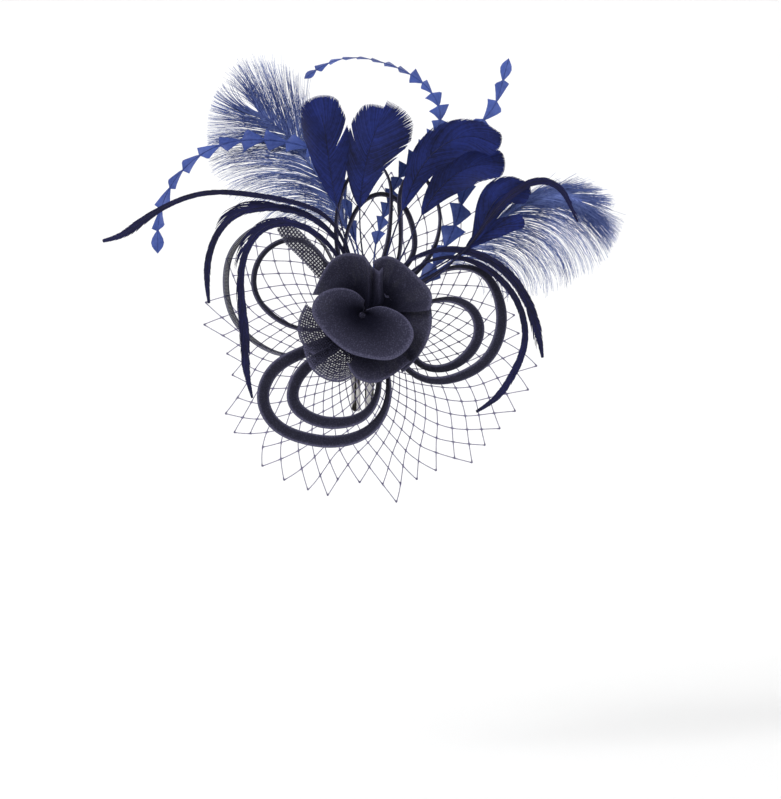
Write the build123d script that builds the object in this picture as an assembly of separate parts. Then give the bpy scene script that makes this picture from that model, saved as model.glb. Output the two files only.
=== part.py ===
from build123d import *
import math
import os

# A fascinator headpiece on a forked alligator clip, in millimetres.
# X runs to the wearer's front, Z up and Y from the viewer into the hair.
# The origin is the middle of the clip's grip, on the fixed prongs' holding face.

# ---- driving dimensions -------------------------------------------------

# base
BASE_X = 5.0               # centre of the base disc and of the flower
BASE_Z = 47.0
BASE_RADIUS = 30.0
BASE_THICK = 2.0
FELT_RADIUS = 27.0
FELT_THICK = 1.5

# binding: the bound bundle of stems between the base and the flower
BINDING_RADIUS = 20.0
BINDING_DEPTH = 22.5
BINDING_RISE = 3.0         # its centre stands this much above the base's
ROOT_DEPTH = 2.5           # how far a stem or strip end goes into it

# stations of the planes that the stems and strips lie in, from the base's front face
OSTRICH_STATION = 3.4
NOTCHED_STATION = 5.4
SIDE_LOOP_STATION = 9.8    # middle of the strip
LOW_LOOP_STATION = 17.5
INNER_TOP_LOOP_STATION = 8.7
OUTER_TOP_LOOP_STATION = 12.7
PADDLE_BACK_STATION = 15.8
PADDLE_FRONT_STATION = 17.2
CURL_BACK_STATION = 18.7
CURL_FRONT_STATION = 20.1
TAIL_STATION = 21.5

# sinamay strips
STRIP_THICK = 1.0
SIDE_STRIP = 6.4
LOW_STRIP = 8.4
TOP_STRIP = 3.8
TAIL_WIDTH = 14.0

# feathers
QUILL = 1.2                # width and thickness of a bare quill
OSTRICH_THICK = 1.6
OSTRICH_GAP = 1.282        # from where the net bends back to the middle of a plume

# flower
PETAL_THICK = 1.2
OUTER_PETAL_RADIUS = 44.0
FRONT_PETAL_RADIUS = 36.0
FOLD_RADIUS = 13.0
FLOWER_DEPTH = 27.0

# veil
VEIL_RADIUS = 122.0
VEIL_DEPTH = 52.0
VEIL_THICK = 0.8
VEIL_HOLE = 17.0
VEIL_FLAT = 60.0
VEIL_DROP = 11.0           # its centre hangs this much below the base's

# clip
CLIP_WIDTH = 16.4
CLIP_STEEL = 0.7
PRONG_LENGTH = 34.0        # from the pin to the tips
PRONG_WIDTH = 5.6
LEVER_LENGTH = 28.0        # from the pin to the end of the levers
PIN_Z = 15.0
PIN_RADIUS = 1.0
PIN_CLEARANCE = 0.05
PIN_STANDOFF = 2.4         # pin axis above the fixed jaw's plate
EAR_GAP = 0.3
EAR_RADIUS = 2.1
JAW_RISE = 4.9             # the back jaw's plate above the fixed jaw's at the pin
LEVER_RISE = 7.0           # and how much more its lever stands off at the end
TIP_GAP = 0.3
PIN_HEAD_RADIUS = 1.7
PIN_HEAD_THICK = 0.7
SPRING_WIRE = 0.7
SPRING_TURNS = 9
SPRING_CLEARANCE = 0.25    # between the coil and the pin
SPRING_LEG = 14.0

# ---- levels worked out from them ----------------------------------------

clip_front = -CLIP_STEEL
felt_front = clip_front - FELT_THICK
veil_front = felt_front - VEIL_THICK
base_front = veil_front - BASE_THICK
pin_y = PIN_STANDOFF
binding_z = BASE_Z + BINDING_RISE
fan_pivot_z = binding_z + BINDING_RADIUS    # leaning planes turn about the binding's top
veil_z = BASE_Z - VEIL_DROP
# the plumes lean back from the binding's top as far as the net's bend lets them
ostrich_reach = base_front - OSTRICH_STATION - (veil_front - OSTRICH_GAP)
ostrich_lean = math.degrees(math.atan2(-ostrich_reach, veil_z + VEIL_FLAT - fan_pivot_z))


def station(depth):
    """Y of a plane that lies this far in front of the base."""
    return base_front - depth


def root(degrees):
    """(X, Z) of a stem's end, just inside the binding's rim, in this direction from its centre."""
    reach = BINDING_RADIUS - ROOT_DEPTH
    a = math.radians(degrees)
    return (BASE_X + reach * math.cos(a), binding_z + reach * math.sin(a))


# ---- builders ------------------------------------------------------------


def leaning_plane(y, lean):
    """A plane facing the viewer at y, leaning back by lean degrees about the fan pivot."""
    a = math.radians(lean)
    return Plane(
        origin=(0, y, fan_pivot_z),
        x_dir=(1, 0, 0),
        z_dir=(0, -math.cos(a), math.sin(a)),
    )


def ribbon(points, lefts, rights, thick, y, lean=0.0, samples=None):
    """A flat strip of given half widths along a smooth line of (X, Z) points.

    lefts and rights are half widths, evenly spaced along the line, on its left and right.
    """
    rise = math.cos(math.radians(lean))
    line = Spline(*[(x, (z - fan_pivot_z) / rise) for x, z in points])
    samples = samples or 3 * len(points)

    def width(widths, t):
        """Half width at t, read evenly along the list."""
        place = t * (len(widths) - 1)
        i = min(int(place), len(widths) - 2)
        return widths[i] + (widths[i + 1] - widths[i]) * (place - i)

    left_side = []
    right_side = []
    for i in range(samples + 1):
        t = i / samples
        middle = line @ t
        along = line % t
        across = Vector(-along.Y, along.X)
        left_side.append(middle + across * width(lefts, t))
        right_side.append(middle - across * width(rights, t))
    left = Spline(*left_side)
    right = Spline(*right_side)
    outline = Wire([left, Line(left @ 1, right @ 1), right, Line(right @ 0, left @ 0)])
    face = leaning_plane(y, lean) * make_face(outline)
    return extrude(face, amount=thick / 2, both=True)


def strip_loop(points, width, depth_station, lean=0.0):
    """A loop of sinamay strip, on edge, so its width runs along the view."""
    half = [STRIP_THICK / 2, STRIP_THICK / 2]
    return ribbon(points, half, half, width, station(depth_station), lean, samples=4 * len(points))


def feather(points, lefts, rights, depth_station, lean, thick=QUILL):
    """A flat feather: a quill as wide as QUILL where its half widths are QUILL / 2."""
    return ribbon(points, lefts, rights, thick, station(depth_station), lean)


def petal(profile, start_angle, sweep_angle):
    """A curved petal: a (radius, depth) profile turned about the flower's centre line."""
    y0 = station(BINDING_DEPTH)
    inner = Spline(*[(r, -d) for r, d in profile])
    outer = Spline(*[(r, -d - PETAL_THICK) for r, d in profile])
    wire = Wire([inner, Line(inner @ 1, outer @ 1), outer, Line(outer @ 0, inner @ 0)])
    face = Plane(origin=(0, 0, 0), x_dir=(1, 0, 0), z_dir=(0, 0, 1)) * make_face(wire)
    solid = revolve(face, axis=Axis.Y, revolution_arc=sweep_angle)
    return Pos(BASE_X, y0, BASE_Z) * Rot(0, -(start_angle + sweep_angle), 0) * solid


# ---- base ----------------------------------------------------------------


def flat_disc(radius, y_front, thick, x, z):
    """A round plate facing the viewer."""
    plane = Plane(origin=(x, y_front, z), x_dir=(1, 0, 0), z_dir=(0, 1, 0))
    return extrude(plane * Circle(radius), amount=thick)


def base_disc():
    """The round sinamay-covered base."""
    return flat_disc(BASE_RADIUS, base_front, BASE_THICK, BASE_X, BASE_Z)


def felt_backing():
    """The felt patch that closes the back and carries the clip."""
    return flat_disc(FELT_RADIUS, felt_front, FELT_THICK, BASE_X, BASE_Z)


def stem_binding():
    """The bound bundle that every stem and strip end is glued into."""
    y = base_front - BINDING_DEPTH
    return flat_disc(BINDING_RADIUS, y, BINDING_DEPTH, BASE_X, binding_z)


def veil_net():
    """The net as one thin dome: flat behind the base, then curving back over the head."""
    rim = VEIL_RADIUS - VEIL_FLAT

    def depth(r):
        """How far back the net lies at this radius."""
        return VEIL_DEPTH * (max(0.0, r - VEIL_FLAT) / rim) ** 1.5

    bends = [VEIL_FLAT + rim * i / 8 for i in range(9)]
    front = Spline(*[(r, depth(r)) for r in bends], tangents=[(1, 0), (0.55, 1)])
    back = Spline(
        *[(r, depth(r) + VEIL_THICK) for r in bends], tangents=[(1, 0), (0.55, 1)]
    )
    wire = Wire(
        [
            Line((VEIL_HOLE, 0), (VEIL_FLAT, 0)),
            front,
            Line(front @ 1, back @ 1),
            back,
            Line((VEIL_FLAT, VEIL_THICK), (VEIL_HOLE, VEIL_THICK)),
            Line((VEIL_HOLE, VEIL_THICK), (VEIL_HOLE, 0)),
        ]
    )
    return Pos(BASE_X, veil_front, veil_z) * revolve(make_face(wire), axis=Axis.Y)


# ---- flower --------------------------------------------------------------


def flower_petals():
    """Six open petals round two that roll up out of the middle."""
    open_profile = [
        (8.0, 0.0),
        (0.5 * OUTER_PETAL_RADIUS, 5.5),
        (0.8 * OUTER_PETAL_RADIUS, 8.5),
        (OUTER_PETAL_RADIUS, 7.0),
    ]
    cup_profile = [
        (5.0, 0.0),
        (0.28 * FRONT_PETAL_RADIUS, 8.0),
        (0.65 * FRONT_PETAL_RADIUS, 0.7 * FLOWER_DEPTH),
        (FRONT_PETAL_RADIUS, FLOWER_DEPTH - PETAL_THICK),
    ]
    fold_profile = [
        (2.0, 0.0),
        (0.5 * FOLD_RADIUS, 0.5 * FLOWER_DEPTH),
        (FOLD_RADIUS, FLOWER_DEPTH - 2 * PETAL_THICK),
    ]
    # name, direction of its middle and its spread, both in degrees
    open_petals = [
        ("petal_right", -22, 50),
        ("petal_upper_right", 38, 56),
        ("petal_upper_left", 104, 60),
        ("petal_left", 166, 50),
        ("petal_lower_left", 222, 50),
        ("petal_lower", 280, 54),
    ]
    made = {}
    for name, middle, spread in open_petals:
        made[name] = petal(open_profile, middle - spread / 2, spread)
    made["petal_front"] = petal(cup_profile, 150, 225)
    made["centre_fold"] = petal(fold_profile, 25, 115)
    return made


# ---- sinamay strips ------------------------------------------------------


def side_loops():
    """The rolled strip loops at the left, the lower left and the right."""
    left_outer = [root(141), (-20, 85), (-31, 104), (-52, 116), (-75, 113), (-93, 97),
                  (-98, 74), (-93, 50), (-75, 30), (-50, 22), (-30, 30), root(-156)]
    left_inner = [root(162), (-21, 75), (-31, 94), (-46, 104), (-63, 101), (-75, 88),
                  (-77, 68), (-64, 50), (-45, 41), (-28, 41), root(-171)]
    low_outer = [root(-143), (-41, 24), (-63, 11), (-71, -9), (-63, -27), (-41, -38),
                 (-16, -40), (5, -32), (17, -14), (18, 6), root(-68)]
    low_inner = [root(-131), (-32, 19), (-46, 5), (-49, -12), (-38, -23), (-18, -27),
                 (0, -22), (10, -8), (11, 10), root(-84)]
    right_outer = [root(25), (45, 76), (67, 85), (86, 81), (98, 63), (100, 43),
                   (90, 19), (70, 6), (45, 4), (28, 16), root(-41)]
    right_inner = [root(9), (47, 60), (68, 61), (80, 53), (84, 38), (76, 22),
                   (59, 12), (43, 14), (32, 26), root(-22)]
    return {
        "loop_left_outer": strip_loop(left_outer, SIDE_STRIP, SIDE_LOOP_STATION),
        "loop_left_inner": strip_loop(left_inner, SIDE_STRIP, SIDE_LOOP_STATION),
        "loop_low_outer": strip_loop(low_outer, LOW_STRIP, LOW_LOOP_STATION),
        "loop_low_inner": strip_loop(low_inner, LOW_STRIP, LOW_LOOP_STATION),
        "loop_right_outer": strip_loop(right_outer, SIDE_STRIP, SIDE_LOOP_STATION),
        "loop_right_inner": strip_loop(right_inner, SIDE_STRIP, SIDE_LOOP_STATION),
    }


def top_loops():
    """The three narrow loops that stand up among the feather stems."""
    middle = [root(122), (-13, 89), (-9, 117), (1, 133), (14, 138), (27, 132),
              (36, 115), (37, 96), (27, 80), root(63)]
    left = [root(135), (-18, 97), (-18, 126), (-10, 149), (5, 163), (16, 155),
            (21, 130), (18, 101), root(84)]
    right = [root(58), (25, 89), (27, 122), (30, 146), (38, 154), (49, 143),
             (56, 122), (51, 97), (33, 75), root(36)]
    return {
        "loop_top_middle": strip_loop(middle, TOP_STRIP, INNER_TOP_LOOP_STATION, 3),
        "loop_top_left": strip_loop(left, TOP_STRIP, OUTER_TOP_LOOP_STATION),
        "loop_top_right": strip_loop(right, TOP_STRIP, OUTER_TOP_LOOP_STATION),
    }


def strip_tail():
    """The loose end of strip that sticks out at the upper left."""
    half = [1.0, TAIL_WIDTH / 2, TAIL_WIDTH / 2, TAIL_WIDTH / 2, TAIL_WIDTH / 2, 3.0]
    points = [(-57, 112), (-41, 97), (-26, 80), root(139)]
    return ribbon(points, half, half, STRIP_THICK, station(TAIL_STATION))


# ---- feathers ------------------------------------------------------------

BARE = QUILL / 2


def ostrich_plumes():
    """Two wide soft plumes at the back."""
    left = [root(97), (-9, 106), (-20, 130), (-32, 151), (-46, 171), (-63, 188), (-81, 203),
            (-92, 212)]
    right = [root(51), (41, 75), (63, 89), (85, 106), (106, 124), (128, 136), (149, 139),
             (170, 134), (183, 125)]
    left_side = [BARE, BARE, 2, 12, 26, 38, 42, 36, 12]
    right_side = [BARE, BARE, 2, 14, 30, 40, 42, 30, 8]
    top_side = [BARE, BARE, BARE, BARE, 5, 12, 16, 15, 12, 4]
    under_side = [BARE, BARE, BARE, BARE, 8, 24, 40, 44, 36, 10]
    return {
        "ostrich_left": feather(left, left_side, right_side, OSTRICH_STATION, ostrich_lean,
                                OSTRICH_THICK),
        "ostrich_right": feather(right, top_side, under_side, OSTRICH_STATION, ostrich_lean,
                                 OSTRICH_THICK),
    }


def paddle_feathers():
    """Six trimmed goose feathers with bare stems and broad rounded tips."""
    stems = {
        "paddle_1": [root(107), (-9, 104), (-18, 135), (-23, 162), (-27, 187), (-29, 208)],
        "paddle_2": [root(90), (1, 104), (0, 135), (3, 162), (8, 185), (13, 207)],
        "paddle_3": [root(70), (21, 104), (31, 127), (36, 155), (49, 178), (76, 190)],
        "paddle_4": [root(60), (34, 104), (51, 130), (61, 155), (81, 172), (108, 169)],
        "paddle_5": [root(44), (56, 89), (80, 104), (92, 127), (106, 145), (123, 140)],
        "paddle_6": [root(38), (56, 81), (85, 104), (99, 113), (118, 119)],
    }
    vanes = {
        "paddle_1": ([BARE, BARE, BARE, 5, 11, 14, 14, 4], [BARE, BARE, BARE, 4, 11, 13, 12, 4]),
        "paddle_2": ([BARE, BARE, BARE, 8, 15, 19, 20, 6], [BARE, BARE, BARE, 10, 20, 23, 20, 6]),
        "paddle_3": ([BARE, BARE, BARE, 5, 9, 10, 9, 3], [BARE, BARE, BARE, 8, 17, 20, 16, 3]),
        "paddle_4": ([BARE, BARE, BARE, 5, 10, 13, 12, 3], [BARE, BARE, BARE, 6, 13, 15, 12, 3]),
        "paddle_5": ([BARE, BARE, BARE, BARE, 5, 9, 9, 3], [BARE, BARE, BARE, BARE, 8, 12, 10, 3]),
        "paddle_6": ([BARE, BARE, BARE, BARE, BARE, 5, 6, 2],
                     [BARE, BARE, BARE, BARE, BARE, 6, 7, 2]),
    }
    leans = [-8, -2, -8, -2, 0, 0]
    made = {}
    for i, (name, stem) in enumerate(stems.items()):
        depth_station = PADDLE_FRONT_STATION if i % 2 == 0 else PADDLE_BACK_STATION
        made[name] = feather(stem, *vanes[name], depth_station, leans[i])
    return made


def notched_feathers():
    """Three long feathers cut into a chain of small pieces, here as narrow bands."""
    left = [root(99), (-5, 104), (-13, 137), (-23, 161), (-45, 174), (-72, 178), (-101, 175),
            (-124, 162), (-139, 144), (-147, 122), (-148, 96)]
    middle = [root(80), (10, 104), (18, 130), (28, 153), (45, 174), (56, 192), (51, 211),
              (36, 225), (16, 234), (-5, 238), (-25, 234), (-42, 223)]
    right = [root(49), (45, 78), (59, 99), (69, 122), (75, 146), (79, 169), (85, 189),
             (95, 202), (101, 218), (106, 237)]
    slim = [BARE, 2, 3.5, 4.5, 4.5, 4.5, 4, 2]
    made = {}
    for name, stem, lean in (("left", left, 6), ("middle", middle, 5), ("right", right, 6)):
        made["notched_" + name] = feather(stem, slim, slim, NOTCHED_STATION, lean)
    return made


def curled_feathers():
    """Slim dark feathers that curl over at both sides."""
    stems = {
        "curl_left_1": [root(133), (-13, 102), (-27, 121), (-52, 131), (-81, 136), (-110, 137),
                        (-135, 130), (-157, 117), (-173, 107), (-189, 104)],
        "curl_left_2": [root(144), (-16, 100), (-32, 117), (-52, 126), (-72, 127), (-92, 121),
                        (-105, 106), (-111, 84), (-110, 59)],
        "curl_left_3": [root(153), (-20, 95), (-36, 110), (-56, 116), (-72, 111), (-83, 96),
                        (-87, 72), (-84, 36), (-83, 11), (-79, -9)],
        "curl_right_1": [root(48), (30, 86), (47, 95), (67, 97), (86, 92), (105, 79), (118, 60),
                         (126, 37), (129, 20)],
        "curl_right_2": [root(36), (36, 82), (52, 90), (70, 91), (88, 84), (105, 69), (115, 49),
                         (116, 29), (108, 8), (96, -9), (82, -19)],
        "curl_right_small": [root(25), (49, 77), (74, 97), (93, 122), (112, 140), (129, 146),
                             (142, 140), (149, 128), (154, 117)],
    }
    shapes = {
        "curl_left_1": [BARE, 1.2, 1.8, 2.0, 2.0, 2.2, 1.6, 0.4],
        "curl_left_2": [BARE, 1.2, 2.0, 2.6, 2.6, 2.6, 2.2, 0.4],
        "curl_left_3": [BARE, 1.2, 2.2, 3.2, 2.4, 2.6, 2.4, 0.4],
        "curl_right_1": [BARE, 1.0, 2.0, 2.8, 3.2, 3.2, 2.6, 0.4],
        "curl_right_2": [BARE, 0.9, 1.6, 2.0, 2.2, 2.2, 2.0, 0.4],
        "curl_right_small": [BARE, BARE, 0.8, 1.4, 2.0, 2.4, 2.0, 0.4],
    }
    places = {
        "curl_left_1": (CURL_FRONT_STATION, -6),
        "curl_left_2": (CURL_BACK_STATION, -1),
        "curl_left_3": (CURL_FRONT_STATION, -2),
        "curl_right_1": (CURL_FRONT_STATION, 0),
        "curl_right_2": (CURL_BACK_STATION, 0),
        "curl_right_small": (TAIL_STATION, 0),
    }
    made = {}
    for name, stem in stems.items():
        made[name] = feather(stem, shapes[name], shapes[name], *places[name])
    return made


# ---- clip ----------------------------------------------------------------


def clip_plate(profile, width, x=0.0):
    """A bent steel plate: a (Y, Z) centre line given its thickness, then its width along X."""
    half = CLIP_STEEL / 2
    path = Polyline(*[(y, z) for y, z in profile])
    faces = []
    for edge in path.edges():
        along = (edge @ 1) - (edge @ 0)
        across = Vector(-along.Y, along.X).normalized() * half
        corners = [edge @ 0 + across, edge @ 1 + across, edge @ 1 - across, edge @ 0 - across]
        faces.append(make_face(Polyline(*corners, close=True)))
    for y, z in profile[1:-1]:
        faces.append(Pos(y, z) * Circle(half))
    plane = Plane(origin=(x, 0, 0), x_dir=(0, 1, 0), z_dir=(1, 0, 0))
    section = faces[0]
    for face in faces[1:]:
        section = section + face
    return extrude(plane * section, amount=width / 2, both=True)


def ear(x, y_plate, radius_hole):
    """A tab folded off a plate at x, with a hole for the pin."""
    plane = Plane(origin=(x, pin_y, PIN_Z), x_dir=(0, 1, 0), z_dir=(1, 0, 0))
    reach = y_plate - pin_y
    outline = Circle(EAR_RADIUS) + Pos(reach / 2, 0) * Rectangle(abs(reach), 2 * EAR_RADIUS)
    outline -= Circle(radius_hole)
    return extrude(plane * outline, amount=CLIP_STEEL / 2, both=True)


def prong_cutter(width, tip_z, y_from, y_to):
    """What is cut from a jaw to leave two round-ended prongs below its ears."""
    root_z = PIN_Z - EAR_RADIUS - 4.0
    gap = width - 2 * PRONG_WIDTH
    plane = Plane(origin=(0, y_from, 0), x_dir=(1, 0, 0), z_dir=(0, 1, 0))
    # the plane's own v axis points down, so heights are negated
    slot_length = root_z - tip_z
    slot = Pos(0, -(root_z + tip_z) / 2) * Rectangle(gap, slot_length)
    slot += Pos(0, -root_z) * Circle(gap / 2)
    ends = Pos(0, -(tip_z + PRONG_WIDTH / 4)) * Rectangle(width, PRONG_WIDTH / 2)
    for side in (-1, 1):
        middle = side * (gap + PRONG_WIDTH) / 2
        ends -= Pos(middle, -(tip_z + PRONG_WIDTH / 2)) * Circle(PRONG_WIDTH / 2)
    return extrude(plane * (slot + ends), amount=y_to - y_from)


def clip_front_jaw():
    """The forked jaw glued to the felt, with its lever behind the base and two outer ears."""
    middle_y = clip_front + CLIP_STEEL / 2
    tip_z = PIN_Z - PRONG_LENGTH
    plate = clip_plate([(middle_y, tip_z), (middle_y, PIN_Z + LEVER_LENGTH)], CLIP_WIDTH)
    jaw = plate - prong_cutter(CLIP_WIDTH, tip_z, clip_front - 1, clip_front + CLIP_STEEL + 1)
    for side in (-1, 1):
        x = side * (CLIP_WIDTH - CLIP_STEEL) / 2
        jaw += ear(x, middle_y, PIN_RADIUS + PIN_CLEARANCE)
    return jaw


back_width = CLIP_WIDTH - 2 * (CLIP_STEEL + EAR_GAP)
back_rise = clip_front + 1.5 * CLIP_STEEL        # the back plate's middle, lying on the front's


def clip_back_jaw():
    """The moving jaw: prongs that close on the front's and a lever that stands off."""
    tip_z = PIN_Z - PRONG_LENGTH
    profile = [
        (back_rise + TIP_GAP, tip_z),
        (back_rise + JAW_RISE, PIN_Z),
        (back_rise + JAW_RISE + LEVER_RISE, PIN_Z + LEVER_LENGTH),
    ]
    plate = clip_plate(profile, back_width)
    jaw = plate - prong_cutter(back_width, tip_z - 1, clip_front, back_rise + JAW_RISE + 2)
    for side in (-1, 1):
        x = side * (back_width - CLIP_STEEL) / 2
        jaw += ear(x, back_rise + JAW_RISE, PIN_RADIUS + PIN_CLEARANCE)
    return jaw


def clip_pin():
    """The rivet that the back jaw turns on, with a head outside each outer ear."""
    plane = Plane(origin=(0, pin_y, PIN_Z), x_dir=(0, 1, 0), z_dir=(1, 0, 0))
    pin = extrude(plane * Circle(PIN_RADIUS), amount=CLIP_WIDTH / 2 + PIN_HEAD_THICK, both=True)
    for side in (-1, 1):
        head = plane.offset(side * (CLIP_WIDTH + PIN_HEAD_THICK) / 2)
        pin += extrude(head * Circle(PIN_HEAD_RADIUS), amount=PIN_HEAD_THICK / 2, both=True)
    return pin


def clip_spring():
    """The torsion coil round the pin, as a sleeve, with a leg under the back lever."""
    inner = PIN_RADIUS + SPRING_CLEARANCE
    outer = inner + SPRING_WIRE
    length = SPRING_TURNS * SPRING_WIRE
    plane = Plane(origin=(0, pin_y, PIN_Z), x_dir=(0, 1, 0), z_dir=(1, 0, 0))
    coil = extrude(plane * (Circle(outer) - Circle(inner)), amount=length / 2, both=True)
    slope = math.atan2(LEVER_RISE, LEVER_LENGTH)
    plate_middle = (JAW_RISE + CLIP_STEEL / 2 - PIN_STANDOFF) * math.cos(slope)
    standoff = plate_middle - (CLIP_STEEL + SPRING_WIRE) / 2
    leg_start = Vector(
        length / 2 - SPRING_WIRE / 2,
        pin_y + standoff * math.cos(slope),
        PIN_Z - standoff * math.sin(slope),
    )
    lever = Vector(0, math.sin(slope), math.cos(slope))
    leg_plane = Plane(origin=leg_start, x_dir=(1, 0, 0), z_dir=lever)
    leg = extrude(leg_plane * Circle(SPRING_WIRE / 2), amount=SPRING_LEG)
    return coil + leg


# ---- write the parts -----------------------------------------------------

parts = {
    "base_disc": base_disc(),
    "felt_backing": felt_backing(),
    "stem_binding": stem_binding(),
    "veil_net": veil_net(),
    "strip_tail": strip_tail(),
    "clip_front_jaw": clip_front_jaw(),
    "clip_back_jaw": clip_back_jaw(),
    "clip_pin": clip_pin(),
    "clip_spring": clip_spring(),
}
for group in (
    flower_petals(),
    side_loops(),
    top_loops(),
    ostrich_plumes(),
    paddle_feathers(),
    notched_feathers(),
    curled_feathers(),
):
    parts.update(group)

os.makedirs("parts", exist_ok=True)
for name, solid in parts.items():
    export_step(solid, os.path.join("parts", name + ".step"))
    print(name, round(solid.volume, 1))
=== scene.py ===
import math

import bpy
import numpy as np
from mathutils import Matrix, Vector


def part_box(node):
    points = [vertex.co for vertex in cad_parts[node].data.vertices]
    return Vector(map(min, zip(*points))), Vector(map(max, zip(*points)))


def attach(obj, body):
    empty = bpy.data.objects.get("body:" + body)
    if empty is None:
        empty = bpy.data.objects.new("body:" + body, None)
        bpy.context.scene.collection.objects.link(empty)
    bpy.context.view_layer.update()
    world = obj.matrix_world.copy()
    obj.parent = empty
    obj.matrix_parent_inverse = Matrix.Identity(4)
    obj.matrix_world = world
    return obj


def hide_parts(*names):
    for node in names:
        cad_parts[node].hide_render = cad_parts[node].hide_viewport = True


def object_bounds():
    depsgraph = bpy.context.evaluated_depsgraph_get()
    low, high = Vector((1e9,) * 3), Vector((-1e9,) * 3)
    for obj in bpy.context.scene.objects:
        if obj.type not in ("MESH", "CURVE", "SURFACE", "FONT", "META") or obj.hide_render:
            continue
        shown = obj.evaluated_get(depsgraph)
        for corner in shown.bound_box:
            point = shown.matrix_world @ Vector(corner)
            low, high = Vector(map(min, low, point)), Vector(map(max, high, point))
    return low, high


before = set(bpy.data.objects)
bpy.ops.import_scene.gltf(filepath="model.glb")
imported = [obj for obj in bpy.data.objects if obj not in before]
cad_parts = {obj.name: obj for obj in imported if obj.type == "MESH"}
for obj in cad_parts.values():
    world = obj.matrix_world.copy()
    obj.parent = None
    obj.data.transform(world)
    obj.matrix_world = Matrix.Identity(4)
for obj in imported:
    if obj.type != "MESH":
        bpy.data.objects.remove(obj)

cad_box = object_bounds()
MM = 0.001


# --- The room ---------------------------------------------------------------------------------
# A pale floor that curves up into a wall, lit by three large soft lights and a dim white sky.
# The headpiece is held where a head would hold it, and a bust would stand on the floor.
class Value:
    """A node's socket that works in sums: each operator adds the Math node that does it."""

    def __init__(self, paint, socket):
        self.paint = paint
        self.socket = socket

    def sum(self, operation, *others, turned=False):
        """Adds one Math node for the operation; turned puts this value second."""
        terms = list(others) + [self] if turned else [self] + list(others)
        return self.paint.node("ShaderNodeMath", {"operation": operation}, dict(enumerate(terms)))

    def __add__(self, other):
        return self.sum("ADD", other)

    def __sub__(self, other):
        return self.sum("SUBTRACT", other)

    def __rsub__(self, other):
        return self.sum("SUBTRACT", other, turned=True)

    def __mul__(self, other):
        return self.sum("MULTIPLY", other)

    __radd__ = __add__
    __rmul__ = __mul__

    def __truediv__(self, other):
        return self.sum("DIVIDE", other)

    def __pow__(self, other):
        return self.sum("POWER", other)

    def sin(self):
        return self.sum("SINE")

    def size(self):
        return self.sum("ABSOLUTE")

    def least(self, other):
        return self.sum("MINIMUM", other)

    def step(self, low, high):
        """0 below low, 1 above high, and a smooth step between."""
        settings = {"interpolation_type": "SMOOTHSTEP"}
        return self.paint.node("ShaderNodeMapRange", settings, {0: self, 1: low, 2: high})


class Paint:
    """One material: node() adds any node, and cover() sets the sockets of its main shader."""

    def __init__(self, name):
        self.material = bpy.data.materials.new(name)
        self.material.use_nodes = True
        self.tree = self.material.node_tree
        self.shader = self.tree.nodes["Principled BSDF"]

    def put(self, socket, value):
        if isinstance(value, Value):
            self.tree.links.new(value.socket, socket)
        else:
            socket.default_value = value

    def node(self, kind, settings=(), sockets=(), out=0):
        """Adds a node, sets its settings, then its sockets, and returns one of its outputs."""
        made = self.tree.nodes.new(kind)
        for key, value in dict(settings).items():
            setattr(made, key, value)
        for key, value in dict(sockets).items():
            self.put(made.inputs[key], value)
        return Value(self, made.outputs[out])

    def cover(self, **values):
        """Sets shader sockets: Base_Color stands for Base Color."""
        for key, value in values.items():
            self.put(self.shader.inputs[key.replace("_", " ")], value)

    def place(self, source="Object"):
        """The point that a pattern is worked out from."""
        return self.node("ShaderNodeTexCoord", out=source)

    def axes(self, vector):
        """The three numbers of a vector."""
        first = self.node("ShaderNodeSeparateXYZ", {}, {0: vector})
        outs = first.socket.node.outputs
        return [Value(self, outs[i]) for i in range(3)]

    def noise(self, vector, scale, detail=2.0):
        return self.node("ShaderNodeTexNoise", {}, {"Vector": vector, "Scale": scale, "Detail": detail})

    def stretched(self, vector, scale):
        """The vector with each axis scaled, so that a noise on it runs along one of them."""
        return self.node("ShaderNodeMapping", {}, {"Vector": vector, "Scale": scale})

    def shade(self):
        """The shade that the mesh carries, from 0 to 1."""
        return self.node("ShaderNodeAttribute", {"attribute_name": "shade"}, out="Fac")

    def mix(self, low, high, amount):
        """A colour between two, by an amount from 0 to 1."""
        settings = {"data_type": "RGBA"}
        return self.node("ShaderNodeMix", settings, {0: amount, 6: low, 7: high}, out=2)

    def bump(self, height, strength, distance):
        sockets = {"Height": height, "Strength": strength, "Distance": distance}
        self.cover(Normal=self.node("ShaderNodeBump", {}, sockets))


def rgb(red, green, blue):
    return (red, green, blue, 1.0)


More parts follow.
